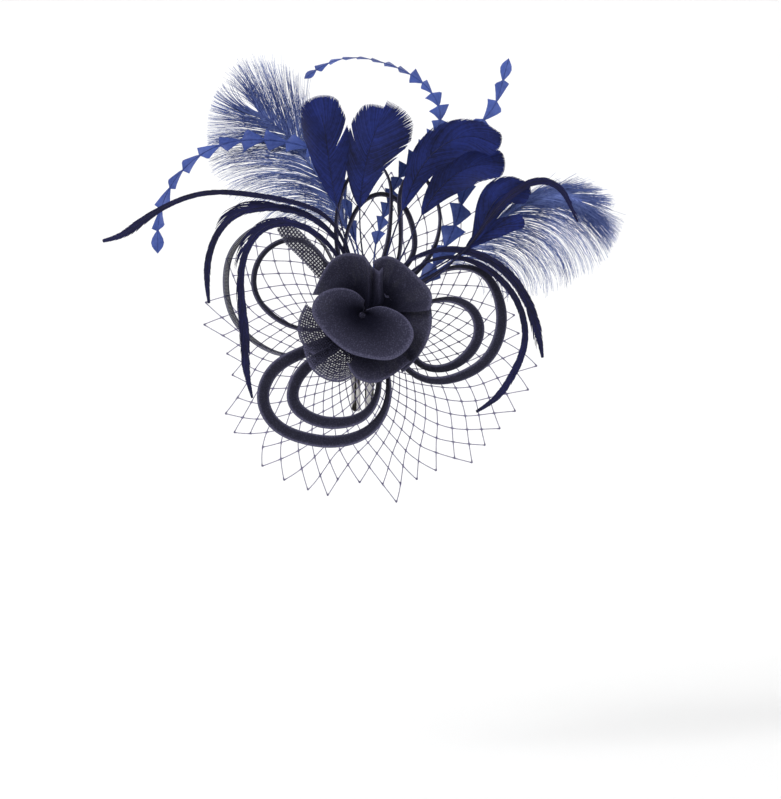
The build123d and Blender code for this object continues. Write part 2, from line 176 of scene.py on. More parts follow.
def build(name, *grids):
    """One object from grids of points.

    A grid is (points, options): points[k, i, j] is row i and column j of surface k, and
    neighbours join into four-sided faces. Options: wrap joins the last column to the first,
    caps closes the ends of a wrapped surface, uv gives a place in metres to each point (with
    one more column where it wraps), and shade gives each point a number.
    """
    all_points, all_faces, all_uv, all_shade, start = [], [], [], [], 0
    for points, options in grids:
        points = points[None] if points.ndim == 3 else points
        count, rows, cols = points.shape[:3]
        wrap = options.get("wrap", False)
        index = np.arange(count * rows * cols).reshape(count, rows, cols) + start
        ring = np.concatenate([index, index[:, :, :1]], axis=2) if wrap else index
        wide = cols + int(wrap)
        uv = options.get("uv")
        if uv is None:
            uv = np.stack(np.meshgrid(np.arange(rows), np.arange(wide), indexing="ij"), -1) * MM
        uv = np.broadcast_to(uv, (count, rows, wide, 2))
        corners = [(0, 0), (0, 1), (1, 1), (1, 0)]
        cells = [ring[:, i:rows - 1 + i, j:wide - 1 + j].ravel() for i, j in corners]
        spots = [uv[:, i:rows - 1 + i, j:wide - 1 + j].reshape(-1, 2) for i, j in corners]
        all_faces += np.stack(cells, 1).tolist()
        all_uv.append(np.stack(spots, 1).reshape(-1, 2))
        if options.get("caps"):
            all_faces += index[:, 0, ::-1].tolist() + index[:, -1].tolist()
            ends = [uv[:, 0, :cols][:, ::-1], uv[:, -1, :cols]]
            all_uv.append(np.concatenate(ends).reshape(-1, 2))
        shade = np.asarray(options.get("shade", 0.5), float)
        all_shade.append(np.broadcast_to(shade, (count, rows, cols)).ravel())
        all_points.append(points.reshape(-1, 3))
        start += count * rows * cols
    mesh = bpy.data.meshes.new(name)
    mesh.from_pydata(np.concatenate(all_points).tolist(), [], all_faces)
    layer = mesh.uv_layers.new(name="UVMap")
    layer.data.foreach_set("uv", np.concatenate(all_uv).ravel())
    mesh.attributes.new("shade", "FLOAT", "POINT")
    mesh.attributes["shade"].data.foreach_set("value", np.concatenate(all_shade))
    mesh.polygons.foreach_set("use_smooth", np.ones(len(mesh.polygons), bool))
    mesh.update()
    made = bpy.data.objects.new(name, mesh)
    bpy.context.collection.objects.link(made)
    return made


FLOOR_Z = -0.29
WALL_Y = 3.4
CURVE = 1.2

turn = np.linspace(0, math.pi / 2, 24)
sweep_y = np.r_[-4.0, WALL_Y + CURVE * np.sin(turn) - CURVE, WALL_Y]
sweep_z = np.r_[FLOOR_Z, FLOOR_Z + CURVE - CURVE * np.cos(turn), 4.0]
across = np.linspace(-6.0, 6.0, 9)
room = np.stack(np.broadcast_arrays(across[None, :], sweep_y[:, None], sweep_z[:, None]), -1)
floor = build("floor_and_wall", (room[:, ::-1], {}))
paper = Paint("pale_paper")
paper.cover(Base_Color=rgb(0.9, 0.9, 0.9), Roughness=0.95)
floor.data.materials.append(paper.material)

world = bpy.context.scene.world or bpy.data.worlds.new("sky")
bpy.context.scene.world = world
world.use_nodes = True
world.node_tree.nodes["Background"].inputs["Color"].default_value = rgb(1.0, 1.0, 1.0)
world.node_tree.nodes["Background"].inputs["Strength"].default_value = 0.42


def soft_light(name, place, aim, size, power):
    """A square area light at a place, facing a point."""
    data = bpy.data.lights.new(name, "AREA")
    data.size = size
    data.energy = power
    lamp = bpy.data.objects.new(name, data)
    bpy.context.collection.objects.link(lamp)
    lamp.location = place
    facing = Vector(aim) - Vector(place)
    lamp.rotation_mode = "QUATERNION"
    lamp.rotation_quaternion = facing.to_track_quat("-Z", "Y")


middle = (cad_box[0] + cad_box[1]) / 2
soft_light("key", (-1.1, -1.6, 1.3), middle, 0.8, 32)
soft_light("fill", (1.5, -1.3, 0.5), middle, 1.2, 13)
soft_light("wall_wash", (0.0, 1.7, 2.8), (0.0, 3.4, 0.2), 3.0, 62)

VIEW_DISTANCE = 2.0
VIEW_HEIGHT = 0.575        # how much of the object's plane the picture's height shows
eye = bpy.data.objects.new("camera", bpy.data.cameras.new("camera"))
bpy.context.collection.objects.link(eye)
eye.location = (0.0202, -VIEW_DISTANCE, -0.0104)
eye.rotation_euler = (math.pi / 2, 0, 0)
eye.data.lens = eye.data.sensor_width * (VIEW_DISTANCE - 0.015) / VIEW_HEIGHT
bpy.context.scene.camera = eye
bpy.context.scene.view_settings.view_transform = "Standard"


# --- Veil net ---------------------------------------------------------------------------------
# A round of stiffened diamond net, gathered at its middle between the base and the felt and
# left to stand round the head. Its threads run out in two crossing families, with a small knot
# where they cross, and its cut rim is uneven.
def smooth_line(points, count):
    """Even points along the natural cubic spline through points, and its unit directions.

    Between two points the curve is the usual cubic of their second derivatives, which solve
    the tridiagonal system on chord lengths.
    """
    points = np.asarray(points, float)
    chord = np.r_[0, np.cumsum(np.linalg.norm(np.diff(points, axis=0), axis=1))]
    gap = np.diff(chord)
    inside = np.arange(1, len(points) - 1)
    system = np.eye(len(points))
    system[inside, inside - 1] = gap[:-1]
    system[inside, inside] = 2 * (gap[:-1] + gap[1:])
    system[inside, inside + 1] = gap[1:]
    right = np.zeros_like(points)
    right[1:-1] = 6 * np.diff(np.diff(points, axis=0) / gap[:, None], axis=0)
    bend = np.linalg.solve(system, right)
    place = np.linspace(0, chord[-1], 8 * count)
    k = np.clip(np.searchsorted(chord, place, side="right") - 1, 0, len(points) - 2)
    g = gap[k][:, None]
    u = (place - chord[k])[:, None]
    w = g - u
    curve = (bend[k] * w**3 + bend[k + 1] * u**3) / (6 * g)
    curve += (points[k] / g - bend[k] * g / 6) * w
    curve += (points[k + 1] / g - bend[k + 1] * g / 6) * u
    run = np.r_[0, np.cumsum(np.linalg.norm(np.diff(curve, axis=0), axis=1))]
    even = np.linspace(0, run[-1], count)
    line = np.stack([np.interp(even, run, curve[:, i]) for i in range(points.shape[1])], 1)
    return line, unit(np.gradient(line, axis=0))


def unit(vectors):
    """The vectors at length one."""
    return vectors / np.maximum(np.linalg.norm(vectors, axis=-1, keepdims=True), 1e-12)


def tubes(paths, radius, sides):
    """Rings round each path: across * cos f + third * sin f, where across lies across the view."""
    paths = np.asarray(paths, float)
    along = unit(np.gradient(paths, axis=-2))
    level = unit(np.cross([0.0, 1.0, 0.0], along))
    third = np.cross(along, level)
    f = 2 * math.pi * np.arange(sides) / sides
    ring = level[..., None, :] * np.cos(f)[:, None] + third[..., None, :] * np.sin(f)[:, None]
    radius = np.broadcast_to(radius, paths.shape[:-1])
    return paths[..., None, :] + radius[..., None, None] * ring


def keep(piece, paint, slot, *nodes, body="headpiece"):
    """Gives a finished piece its material and its body, and hides the nodes it stands for; its finish's slot
    is not used.
    """
    piece.data.materials.append(paint.material)
    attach(piece, body)
    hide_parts(*nodes)
    return piece


THREAD_RADIUS = 0.32 * MM
KNOT_RADIUS = 0.65 * MM
VEIL_THREADS = 46
VEIL_ROWS = 17             # knots along a thread from the middle to the rim
VEIL_START = 20 * MM
VEIL_FLAT = 60 * MM        # the net lies flat out to here, then bends back
RIPPLES = 9
net_low, net_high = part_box("veil_net")
net_middle = (net_low + net_high) / 2
net_radius = (net_high.x - net_low.x) / 2
net_depth = net_high.y - net_low.y


cell = math.log(net_radius / VEIL_START) / VEIL_ROWS
VEIL_TURN = math.pi / VEIL_THREADS / cell    # turn round the middle for each e-fold of distance
starts = 2 * np.pi * np.arange(VEIL_THREADS) / VEIL_THREADS
u = np.linspace(0, 1, 103)[None, :]
threads, widths = [], []
for hand in (-1, 1):
    ends = starts + hand * VEIL_TURN * cell * VEIL_ROWS
    short = 0.45 + 0.6 * np.sin(4 * ends + 0.6) + 0.6 * np.sin(11 * ends + 2.0)
    rows = VEIL_ROWS - np.clip(np.round(short), 0, 1)
    run = u * rows[:, None]
    angle = starts[:, None] + hand * VEIL_TURN * cell * run
    distance = VEIL_START * np.exp(cell * run)
    bent = np.maximum(0, distance - VEIL_FLAT) / (net_radius - VEIL_FLAT)
    x = net_middle.x + distance * np.cos(angle)
    z = net_middle.z + distance * np.sin(angle)
    pull = 2.6 * MM * np.minimum(1, bent * 2)
    x, z = (x + pull * np.sin(z / 0.017 + 1.0) + 0.6 * pull * np.sin(x / 0.009),
            z + pull * np.sin(x / 0.019 + 2.0) + 0.6 * pull * np.sin(z / 0.011))
    wave = np.sin(RIPPLES * angle + 2.0 * np.sin(2 * angle)) * bent * 5 * MM
    back = (net_depth - 4 * MM) * bent**1.5 + wave
    y = net_low.y + 0.5 * MM + np.clip(back, 0, net_depth + 1 * MM) + 0.1 * MM * hand
    threads.append(np.stack([x, y, z], -1))
    near = np.abs(run - np.round(run))
    widths.append(THREAD_RADIUS + (KNOT_RADIUS - THREAD_RADIUS) * np.exp(-(near / 0.06) ** 2))
paths = np.concatenate(threads)
veil = build("veil_net_threads", (tubes(paths, np.concatenate(widths), 4), {"wrap": True, "caps": True}))
net_paint = Paint("veil_thread")
grain = net_paint.noise(net_paint.place(), 900.0)
net_paint.cover(
    Base_Color=net_paint.mix(rgb(0.07, 0.065, 0.14), rgb(0.24, 0.22, 0.36), grain), Roughness=0.6
)
keep(veil, net_paint, "net", "veil_net")


# --- Base, felt and binding -------------------------------------------------------------------
# A round of sinamay over a stiff disc, with its edge turned under, closed at the back by a round
# of felt. On its front the stem ends are glued into a pleated wad of sinamay, whipped with thread.
def weave(paint, pitch, gap):
    """Threads both ways on the cloth's own UV, pitch apart: (how far in a thread, how far in a hole)."""
    u, v = paint.axes(paint.place("UV"))[:2]
    wander = paint.noise(paint.place(), 160.0) * (0.5 * pitch)
    a = ((u + wander) * (math.pi / pitch)).sin().size()
    b = ((v + wander) * (math.pi / pitch)).sin().size()
    low = 1 - gap
    hole = a.step(low, low + 0.2) * b.step(low, low + 0.2)
    return a.least(b), hole


def sinamay(name, dark, light, gap, pitch=1.0 * MM, open_share=1.0):
    """Stiff open-woven cloth: dark threads with paler flecks, paler again where shade is high; on the
    petals, strips and tail that shade is painted light, painted shade deep in the flower and painted
    highlights on hems and edges.
    """
    paint = Paint(name)
    thread, hole = weave(paint, pitch, gap)
    fleck = paint.noise(paint.place(), 1100.0, 2.0).step(0.46, 0.74)
    shade = paint.shade()
    # The flecks fade where shade is low, so that the painted shade deep in the flower stays dark.
    tone = (fleck * (shade * 1.1 + 0.05) + shade * 0.9).least(1.0)
    paint.cover(
        Base_Color=paint.mix(dark, light, tone),
        Roughness=0.75,
        Specular_IOR_Level=0.06,
        Alpha=1 - hole * open_share,
    )
    paint.bump(thread, 0.5, 0.4 * MM)
    return paint


def turned(radii, heights, sides, middle):
    """Rings about a line along Y, from a radius for each ring, or for each of its points."""
    f = 2 * math.pi * np.arange(sides) / sides
    radii = np.reshape(radii, (len(heights), -1)) * np.ones(sides)
    x = middle[0] + radii * np.cos(f)
    z = middle[1] + radii * np.sin(f)
    y = np.asarray(heights, float)[:, None] * np.ones(sides)
    return np.stack([x, y, z], -1)


DEEP = rgb(0.004, 0.004, 0.011)
PALE = rgb(0.085, 0.083, 0.14)
cover_paint = sinamay("base_cover_sinamay", DEEP, PALE, 0.25)
disc_low, disc_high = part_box("base_disc")
disc_middle = ((disc_low.x + disc_high.x) / 2, (disc_low.z + disc_high.z) / 2)
disc_radius = (disc_high.x - disc_low.x) / 2
edge = np.linspace(0, math.pi, 9)
half_thick = (disc_high.y - disc_low.y) / 2
rim_out = disc_radius - half_thick + half_thick * np.sin(edge)
rim_y = disc_low.y + half_thick - half_thick * np.cos(edge)
radii = np.r_[0.5 * MM, 0.5 * disc_radius, 0.92 * disc_radius, rim_out, 0.9 * disc_radius, 0.5 * MM]
heights = np.r_[disc_low.y - 0.0001, disc_low.y, disc_low.y, rim_y, disc_high.y, disc_high.y]
disc = turned(radii, heights, 96, disc_middle)
disc_uv = np.concatenate([disc, disc[:, :1]], 1)[..., [0, 2]]
base = build("base_disc_covered", (disc, {"wrap": True, "caps": True, "uv": disc_uv}))
keep(base, cover_paint, "sinamay", "base_disc")

felt_low, felt_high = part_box("felt_backing")
felt_radius = (felt_high.x - felt_low.x) / 2
fluff = 0.12 * MM * np.random.default_rng(3).normal(size=(12, 96))
rise = np.linspace(0, math.pi, 6)
half_felt = (felt_high.y - felt_low.y) / 2
radii = felt_radius - half_felt * (1 - np.sin(rise))
radii = np.r_[0.4 * MM, 0.5 * felt_radius, 0.9 * felt_radius, radii,
              0.9 * felt_radius, 0.5 * felt_radius, 0.4 * MM][:, None] + fluff * 0.6
heights = np.r_[[felt_low.y] * 3, felt_low.y + half_felt * (1 - np.cos(rise)), [felt_high.y] * 3]
felt_rings = turned(radii, heights, 96, disc_middle)
felt = build("felt_backing_round", (felt_rings, {"wrap": True, "caps": True}))
felt_paint = Paint("navy_felt")
fibres = felt_paint.noise(felt_paint.place(), 1500.0, 4.0)
mottle = felt_paint.noise(felt_paint.place(), 90.0)
felt_paint.cover(
    Base_Color=felt_paint.mix(rgb(0.008, 0.008, 0.02), rgb(0.035, 0.035, 0.06), fibres * 0.7 + mottle * 0.3),
    Roughness=0.95,
)
felt_paint.bump(fibres, 0.6, 0.3 * MM)
keep(felt, felt_paint, "felt", "felt_backing")

bind_low, bind_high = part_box("stem_binding")
bind_radius = (bind_high.x - bind_low.x) / 2
bind_middle = ((bind_low.x + bind_high.x) / 2, (bind_low.z + bind_high.z) / 2)
f = 2 * math.pi * np.arange(180) / 180
along = np.linspace(0, 1, 22)[:, None]
pleats = 0.5 * np.sin(26 * f + 2.0 * along) + 0.35 * np.sin(41 * f - 3.0 * along + 1.0)
waist = 1 - 0.05 * np.sin(math.pi * along)
radii = (bind_radius - 1.0 * MM) * waist + 0.8 * MM * pleats
radii = np.concatenate([0.05 * radii[:1], 0.6 * radii[:1], radii, 0.6 * radii[-1:], 0.05 * radii[-1:]])
heights = bind_low.y + (bind_high.y - bind_low.y) * np.r_[0, 0, along[:, 0], 1, 1]
wad = turned(radii, heights, 180, bind_middle)
turns = 7
wind = np.linspace(0, 1, 40 * turns)
wound = np.stack([
    bind_middle[0] + (bind_radius - 1.3 * MM) * np.cos(2 * math.pi * turns * wind),
    bind_low.y + (bind_high.y - bind_low.y) * (0.35 + 0.2 * wind + 0.02 * np.sin(50 * wind)),
    bind_middle[1] + (bind_radius - 1.3 * MM) * np.sin(2 * math.pi * turns * wind),
], -1)
binding = build("stem_binding_wad", (wad, {"wrap": True, "caps": True}),
                (tubes(wound, 0.5 * MM, 8), {"wrap": True, "caps": True, "shade": 1.0}))
keep(binding, sinamay("binding_sinamay", DEEP, PALE, 0.2), "binding", "stem_binding")


# --- Flower petals ----------------------------------------------------------------------------
# Each petal is one piece of sinamay, damped and shaped by hand, with its rim rolled to a narrow
# hem. The big front one is wound into an open trumpet round the flower's middle, where the cloth
# is painted dark as painted shade, and the hems are painted lighter as painted highlights.
def spread(net, rows, cols):
    """A smooth grid through a coarse one of (X, distance in front of the base, Z) in mm."""
    net = np.asarray(net, float)
    down = np.stack([smooth_line(net[:, j], rows)[0] for j in range(net.shape[1])], 1)
    grid = np.stack([smooth_line(down[i], cols)[0] for i in range(rows)], 0)
    return np.stack([grid[..., 0], disc_low.y / MM - grid[..., 1], grid[..., 2]], -1) * MM


def hem(grid, radius):
    """Rolls the last row over: extra rows on a circle of this radius behind the edge."""
    out = unit(grid[-1] - grid[-2])
    run = unit(np.gradient(grid[-1], axis=0))
    back = np.cross(out, run)
    back *= np.where(back[:, 1:2] < 0, -1.0, 1.0)
    turn = np.linspace(0.7, 5.2, 6)[:, None, None]
    rolled = grid[-1] + radius * (np.sin(turn) * out + (1 - np.cos(turn)) * back)
    return np.concatenate([grid, rolled])


def crimp(grid, size, waves, seed):
    """Pushes the cloth in and out along Y in uneven waves that grow towards its rim."""
    rows, cols = grid.shape[:2]
    draw = np.random.default_rng(seed)
    v = np.linspace(0, 1, cols)[None, :]
    u = np.linspace(0, 1, rows)[:, None]
    wave = sum(np.sin(math.pi * waves * k * v + draw.uniform(0, 6) + 2 * u) / k for k in (1, 1.7, 2.9))
    grid = grid.copy()
    grid[..., 1] += size * MM * u**1.5 * wave
    return grid


def cloth_uv(grid):
    """Distances in metres down the cloth's middle and along each row."""
    down = np.linalg.norm(np.diff(grid, axis=0), axis=-1).mean(1)
    side = np.linalg.norm(np.diff(grid, axis=1), axis=-1)
    u = np.r_[0, np.cumsum(down)][:, None] * np.ones(grid.shape[1])
    v = np.concatenate([np.zeros((len(grid), 1)), np.cumsum(side, 1)], 1)
    return np.stack([u, v], -1)


def surface(grid):
    """The area of a grid in square metres, from the cross products of its cells' diagonals."""
    one = grid[1:, 1:] - grid[:-1, :-1]
    two = grid[1:, :-1] - grid[:-1, 1:]
    return float(np.linalg.norm(np.cross(one, two), axis=-1).sum() / 2)


def petal(name, node, paint, net, size=0.6, waves=3.0, seed=1, rows=40, cols=90):
    """One petal from its coarse net, rows from the flower's middle out to the rim."""
    grid = crimp(spread(net, rows, cols), size, waves, seed)
    t = np.linspace(0, 1, rows)
    # Painted shade and painted highlight: the cloth is painted darkest at the flower's middle and lighter
    # out towards the rim, and the last rows and the rolled hem are painted lighter still.
    shade = 0.4 * np.clip((t - 0.25) / 0.75, 0, 1) ** 1.4 + np.clip((t - 0.93) * 6, 0, 0.35)
    grid = hem(grid, 0.55 * MM)
    shade = np.r_[shade, np.full(6, 0.8)]
    shade = np.broadcast_to(shade[:, None], grid.shape[:2])
    piece = build(name, (grid, {"uv": cloth_uv(grid), "shade": shade}))
    keep(piece, paint, "sinamay", node)
    area = surface(grid)
    length = float(np.linalg.norm(np.diff(grid, axis=0), axis=-1).sum(0).max())
    return piece


dense_paint = sinamay("petal_sinamay", DEEP, PALE, 0.30, open_share=0.04)
open_paint = sinamay("petal_sinamay_single", DEEP, PALE, 0.38, pitch=1.8 * MM, open_share=0.42)

throat = np.array([0.0, 24.0, 50.0])
rim = np.array([
    (3.2, 33, 53.2), (10.4, 36, 55.6), (22, 39, 53.3), (32, 41.5, 46), (36.2, 42.5, 36), (30.6, 44, 24.5),
    (20.5, 45.5, 18.4), (6.1, 46, 19), (-8.3, 45.5, 23), (-19.8, 44, 31), (-29.9, 42.5, 41.8),
    (-34.9, 41, 51.8), (-32.8, 39.5, 60.5), (-24.1, 38, 67), (-12.6, 36, 68.4), (-4, 33, 65.5),
    (1.8, 29, 59.8)])
ring = unit((rim - throat) * [1, 0, 1]) * [2.2, 0, 2.2]
reach = np.array([0.0, 0.22, 0.5, 0.8, 1.0])
climb = np.array([0.0, 0.5, 0.78, 0.95, 1.0])
trumpet = throat + ring + (rim - throat - ring) * np.stack([reach, climb, reach], -1)[:, None, :]
petal("petal_front_trumpet", "petal_front", dense_paint, trumpet, 0.25, 5.0, 5, 44, 220)

petal("petal_upper_left_cup", "petal_upper_left", dense_paint, [
    [(-6, 24, 56), (-4, 24, 57), (-2, 24, 58), (0, 24, 58), (1, 25, 57), (2, 26, 56)],
    [(-22, 26, 62), (-17, 25, 68), (-10, 24, 71), (-3, 24, 71), (1, 27, 68), (3, 31, 64)],
    [(-30, 28, 64), (-25, 27, 76), (-16, 26, 83), (-6, 26, 84), (2, 29, 78), (4, 35, 71)],
    [(-35, 29, 64), (-28, 31, 78), (-20, 33, 89), (-9, 33, 93), (2, 34, 90), (5, 38, 78)],
], 0.4, 3.0, 7)
petal("petal_upper_right_cup", "petal_upper_right", dense_paint, [
    [(6, 24, 60), (8, 23.5, 59), (10, 23.5, 57), (11, 24, 55), (12, 24, 53), (11, 24, 51)],
    [(8, 27, 70), (14, 23, 71), (20, 22, 68), (24, 22, 64), (27, 23, 58), (26, 26, 52)],
    [(9, 30, 80), (18, 24, 82), (28, 22.5, 77), (35, 22.5, 69), (39, 25, 60), (36, 29, 52)],
    [(8, 34, 87), (17, 30, 91), (29, 27, 86), (40, 27, 76), (49, 30, 64), (47, 34, 53)],
], 0.7, 5.0, 9)
petal("petal_right_low", "petal_right", dense_paint, [
    [(12, 24, 55), (12, 23.2, 50), (12, 23.2, 46), (10, 24, 42), (8, 24, 39)],
    [(28, 23, 58), (29, 23, 48), (28, 23, 39), (24, 23, 32), (18, 25, 27)],
    [(40, 24, 60), (42, 25, 47), (40, 25, 35), (34, 25, 24), (25, 27, 17)],
    [(47, 26, 62), (49, 30, 47), (46, 29, 32), (38, 31, 19), (28, 33, 9)],
], 0.6, 4.0, 12)
petal("petal_left_single", "petal_left", open_paint, [
    [(-6, 23, 52), (-7, 23, 49), (-7, 23, 46), (-6, 23, 43), (-5, 23, 41)],
    [(-22, 25, 52), (-24, 24, 46), (-24, 24, 40), (-22, 24, 35), (-18, 25, 31)],
    [(-33, 28, 54), (-36, 26, 47), (-36, 25, 38), (-33, 26, 30), (-27, 28, 25)],
    [(-40, 30, 57), (-44, 29, 48), (-45, 28, 37), (-41, 29, 28), (-34, 31, 22)],
], 0.5, 3.0, 15)
petal("petal_lower_left_single", "petal_lower_left", open_paint, [
    [(-5, 23, 42), (-3, 23, 39), (-1, 23, 37), (1, 23, 36), (3, 23, 35)],
    [(-22, 26, 33), (-19, 24, 28), (-15, 24, 25), (-10, 24, 23), (-5, 25, 22)],
    [(-33, 29, 27), (-30, 27, 18), (-24, 26, 13), (-16, 26, 11), (-8, 28, 12)],
    [(-42, 30, 29), (-37, 30, 14), (-27, 30, 5), (-15, 31, 3), (-7, 34, 7)],
], 0.6, 4.0, 18)
petal("petal_lower_curl", "petal_lower", dense_paint, [
    [(0, 24, 36), (3, 24, 35), (6, 24, 35), (9, 24, 36), (11, 24, 38)],
    [(-5, 28, 24), (2, 25, 22), (9, 24, 22), (16, 25, 25), (20, 27, 29)],
    [(-8, 33, 16), (0, 28, 12), (10, 26, 11), (21, 27, 15), (28, 30, 22)],
    [(-10, 37, 16), (-4, 34, 6), (8, 30, 2), (22, 30, 8), (34, 34, 17)],
], 0.5, 4.0, 21)
petal("petal_centre_fold", "centre_fold", dense_paint, [
    [(2, 25, 54), (4, 27, 53), (7, 28, 53), (10, 27, 53), (12, 25, 54)],
    [(2, 28, 63), (5, 34, 61), (8, 31, 60), (12, 36, 58), (15, 30, 59)],
    [(4, 30, 74), (5, 38, 72), (8, 32, 70), (12, 38, 67), (15, 31, 68)],
    [(5, 31, 87), (5, 39, 86), (8, 33, 83), (12, 40, 80), (15, 32, 83)],
], 0.2, 2.0, 24, 30, 40)


# --- Sinamay strips ---------------------------------------------------------------------------
# Narrow bias strips of sinamay with rolled edges, bent into loops that open out round the flower.
# They stand half on edge, so a strip shows its face, and their ends are glued into the binding.
BASE_X, BASE_Z, BINDING_RISE, BINDING_RADIUS, ROOT_DEPTH = 5.0, 47.0, 3.0, 20.0, 2.5
FAN_PIVOT_Z = BASE_Z + BINDING_RISE + BINDING_RADIUS


def root(degrees):
    """(X, Z) in mm of a stem's end, just inside the binding, in this direction from its centre."""
    turn = math.radians(degrees)
    distance = BINDING_RADIUS - ROOT_DEPTH
    return (BASE_X + distance * math.cos(turn), BASE_Z + BINDING_RISE + distance * math.sin(turn))


def in_plane(points, station, lean=0.0, count=200):
    """A smooth line in a plane this far in front of the base, leaning back: places and directions."""
    line = smooth_line(points, count)[0]
    y = disc_low.y / MM - station + math.tan(math.radians(lean)) * (line[:, 1] - FAN_PIVOT_Z)
    line = np.stack([line[:, 0], y, line[:, 1]], -1) * MM
    return line, unit(np.gradient(line, axis=0))


def strip(name, node, points, station, width, twist, lean=0.0, paint=None, swing=5.0, seed=1, bow=0.5):
    """A loop of strip. twist lists the angle of its face from edge-on along it, in degrees.

    Across the strip its section is a shallow bow, across = v and bow (1 - v^2), whose two ends
    roll back in small circles.
    """
    line, along = in_plane(points, station, lean, 220)
    draw = np.random.default_rng(seed)
    t = np.linspace(0, 1, len(line))
    wander = np.sin(2 * math.pi * t * 1.5 + draw.uniform(0, 6)) + 0.5 * np.sin(9 * t + draw.uniform(0, 6))
    calm = np.minimum(1, 12 * np.minimum(t, 1 - t))
    twist = np.interp(t, np.linspace(0, 1, len(twist)), twist)
    angle = np.radians(twist + swing * wander * calm)[:, None]
    out = unit(np.cross(along, [0.0, 1.0, 0.0]))
    wide = np.cos(angle) * [0.0, 1.0, 0.0] + np.sin(angle) * out
    face = np.cross(along, wide)
    v = np.linspace(-1, 1, 9)
    roll = 0.42 * MM
    half = width * MM / 2 - roll
    flat = np.stack([v * half, bow * MM * (1 - v**2)], -1)
    turn = np.linspace(0.8, 4.8, 5)
    curl = np.stack([half + roll * np.sin(turn), -roll * (1 - np.cos(turn))], -1)
    section = np.concatenate([(curl * [-1, 1])[::-1], flat, curl])
    full = 0.55 + 0.45 * np.minimum(1, 9 * np.minimum(t, 1 - t))
    grid = line[:, None] + full[:, None, None] * (
        section[None, :, :1] * wide[:, None] + section[None, :, 1:] * face[:, None])
    # Painted highlight: the rolled edges and the face next to them are painted lighter than the middle of
    # the face.
    shade = np.concatenate([np.full(5, 0.85), 0.12 + 0.9 * np.abs(v) ** 6, np.full(5, 0.85)])
    piece = build(name, (grid, {"uv": cloth_uv(grid), "shade": shade}))
    keep(piece, paint, "sinamay", node)
    area = surface(grid)
    length = float(np.linalg.norm(np.diff(line, axis=0), axis=-1).sum())
    return piece


strip_paint = sinamay("strip_sinamay", DEEP, PALE, 0.25, open_share=0.04)
grey_paint = sinamay("strip_sinamay_pale", rgb(0.015, 0.015, 0.03), rgb(0.10, 0.10, 0.16), 0.35,
                     open_share=0.35)
strip("loop_left_outer_strip", "loop_left_outer", [
    root(141), (-20, 85), (-31, 104), (-52, 116), (-75, 113), (-93, 97), (-98, 74), (-93, 50),
    (-75, 30), (-50, 22), (-30, 30), root(-156)], 9.8, 6.4, [10, 15, 35, 40, 30, 20, 10],
    paint=grey_paint, seed=2)
strip("loop_left_inner_strip", "loop_left_inner", [
    root(162), (-21, 75), (-31, 94), (-46, 104), (-63, 101), (-75, 88), (-77, 68), (-64, 50),
    (-45, 41), (-28, 41), root(-171)], 9.8, 6.4, [10, 20, 34, 38, 30, 20, 10], paint=strip_paint, seed=3)
strip("loop_low_outer_strip", "loop_low_outer", [
    root(-143), (-41, 24), (-63, 11), (-71, -9), (-63, -27), (-41, -38), (-16, -40), (5, -32),
    (17, -14), (18, 6), root(-68)], 17.5, 9.8, [35, 60, 66, 58, 64, 70, 62, 34, 14, 10],
    paint=strip_paint, seed=4)
strip("loop_low_inner_strip", "loop_low_inner", [
    root(-131), (-32, 19), (-46, 5), (-49, -12), (-38, -23), (-18, -27), (0, -22), (10, -8),
    (11, 10), root(-84)], 17.5, 9.8, [40, 62, 56, 50, 62, 68, 56, 30, 12, 10], paint=strip_paint, seed=5)
strip("loop_right_outer_strip", "loop_right_outer", [
    root(25), (45, 76), (67, 85), (86, 81), (98, 63), (100, 43), (90, 19), (70, 6), (45, 4),
    (28, 16), root(-41)], 9.8, 8.8, [8, 16, 30, 46, 60, 62, 56, 40, 30, 20], paint=strip_paint, seed=6)
strip("loop_right_inner_strip", "loop_right_inner", [
    root(9), (47, 60), (68, 61), (80, 53), (84, 38), (76, 22), (59, 12), (43, 14), (32, 26),
    root(-22)], 9.8, 8.8, [8, 16, 26, 44, 60, 60, 48, 36, 30, 20], paint=strip_paint, seed=7)
strip("loop_top_middle_strip", "loop_top_middle", [
    root(122), (-13, 89), (-9, 117), (1, 133), (14, 138), (27, 132), (36, 115), (37, 96), (27, 80),
    root(63)], 8.7, 4.4, [20, 30, 50, 55, 70, 60, 40], 3, paint=strip_paint, seed=8, bow=0.3)
strip("loop_top_left_strip", "loop_top_left", [
    root(135), (-18, 97), (-18, 126), (-10, 149), (5, 163), (16, 155), (21, 130), (18, 101),
    root(84)], 12.7, 4.2, [30, 50, 40, 20, 30, 50, 60], paint=strip_paint, seed=9, bow=0.3)
strip("loop_top_right_strip", "loop_top_right", [
    root(58), (25, 89), (27, 122), (30, 146), (38, 154), (49, 143), (56, 122), (51, 97), (33, 75),
    root(36)], 12.7, 4.4, [20, 30, 60, 40, 30, 50, 40], paint=strip_paint, seed=10, bow=0.3)

# the loose end of a wider strip, frayed open at its tip, beside the upper left petal
tail_paint = sinamay("tail_sinamay", DEEP, rgb(0.12, 0.12, 0.17), 0.4, pitch=2.2 * MM, open_share=0.5)
tail_line, tail_along = in_plane([(-59, 114), (-41, 97), (-26, 80), root(139)], 21.5, 0, 80)
t = np.linspace(0, 1, 80)[:, None]
v = np.linspace(-1, 1, 17)[None, :]
out = unit(np.cross(tail_along, [0.0, 1.0, 0.0]))
half = 7.2 * MM * (0.5 + 0.5 * np.minimum(1, 6 * t)) * (1 - 0.45 * t**3)
ruck = 1.2 * MM * np.sin(5 * v + 7 * t) * np.sin(math.pi * t)
tail = tail_line[:, None] + (half * v)[..., None] * out[:, None]
tail[..., 1] += ruck + 1.5 * MM * v**2
